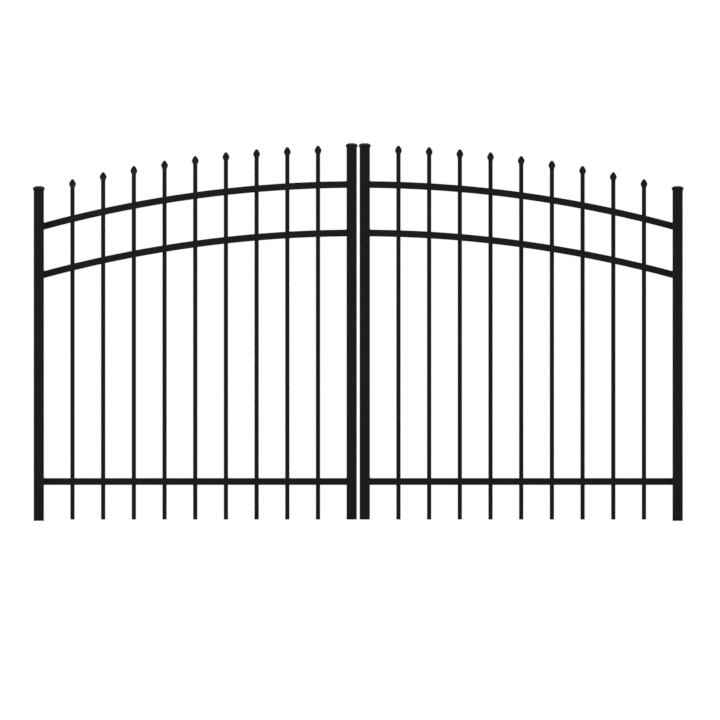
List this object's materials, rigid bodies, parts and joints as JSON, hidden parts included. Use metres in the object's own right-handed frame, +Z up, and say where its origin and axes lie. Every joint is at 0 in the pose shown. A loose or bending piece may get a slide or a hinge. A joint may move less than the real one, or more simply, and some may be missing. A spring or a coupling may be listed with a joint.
{
  "type": "arched double-leaf aluminium fence gate",
  "caption": "Arched double swing gate of square aluminium tube: spear-pointed pickets through channel rails, leaves hung on pin hinges behind two capped posts.",
  "frame": {"origin": "centre of the left post's foot, on the ground", "axes": "+X along the gate from the left post to the right post, +Y back through it, the way the leaves swing, +Z up"},
  "size_m": [2.4229, 0.1177, 1.4066],
  "materials": {
    "black_powder_coat": "satin",
    "black_cast_cap": "satin",
    "black_hinge": "satin"
  },
  "bodies": {
    "posts": {"left_post": "black_powder_coat", "left_post_cap": "black_cast_cap", "left_hinge_brackets": "black_hinge", "right_post": "black_powder_coat", "right_post_cap": "black_cast_cap", "right_hinge_brackets": "black_hinge"},
    "left_leaf": {"left_hinge_stile": "black_powder_coat", "left_hinge_stile_cap": "black_cast_cap", "left_hinge_knuckles": "black_hinge", "left_meeting_stile": "black_powder_coat", "left_meeting_stile_cap": "black_cast_cap", "left_top_rail": "black_powder_coat", "left_middle_rail": "black_powder_coat", "left_bottom_rail": "black_powder_coat", "left_picket_1": "black_powder_coat", "left_picket_2": "black_powder_coat", "left_picket_3": "black_powder_coat", "left_picket_4": "black_powder_coat", "left_picket_5": "black_powder_coat", "left_picket_6": "black_powder_coat", "left_picket_7": "black_powder_coat", "left_picket_8": "black_powder_coat", "left_picket_9": "black_powder_coat"},
    "right_leaf": {"right_hinge_stile": "black_powder_coat", "right_hinge_stile_cap": "black_cast_cap", "right_hinge_knuckles": "black_hinge", "right_meeting_stile": "black_powder_coat", "right_meeting_stile_cap": "black_cast_cap", "right_top_rail": "black_powder_coat", "right_middle_rail": "black_powder_coat", "right_bottom_rail": "black_powder_coat", "right_picket_1": "black_powder_coat", "right_picket_2": "black_powder_coat", "right_picket_3": "black_powder_coat", "right_picket_4": "black_powder_coat", "right_picket_5": "black_powder_coat", "right_picket_6": "black_powder_coat", "right_picket_7": "black_powder_coat", "right_picket_8": "black_powder_coat", "right_picket_9": "black_powder_coat"}
  },
  "joints": [
    {"name": "left_leaf_swing", "type": "hinge", "parent": "posts", "child": "left_leaf", "pos_m": [-0.01105, 0.03705, 0.62], "axis": [0, 0, 1], "range_deg": [0, 90]},
    {"name": "right_leaf_swing", "type": "hinge", "parent": "posts", "child": "right_leaf", "pos_m": [2.3903, 0.03705, 0.62], "axis": [0, 0, -1], "range_deg": [0, 90]}
  ]
}
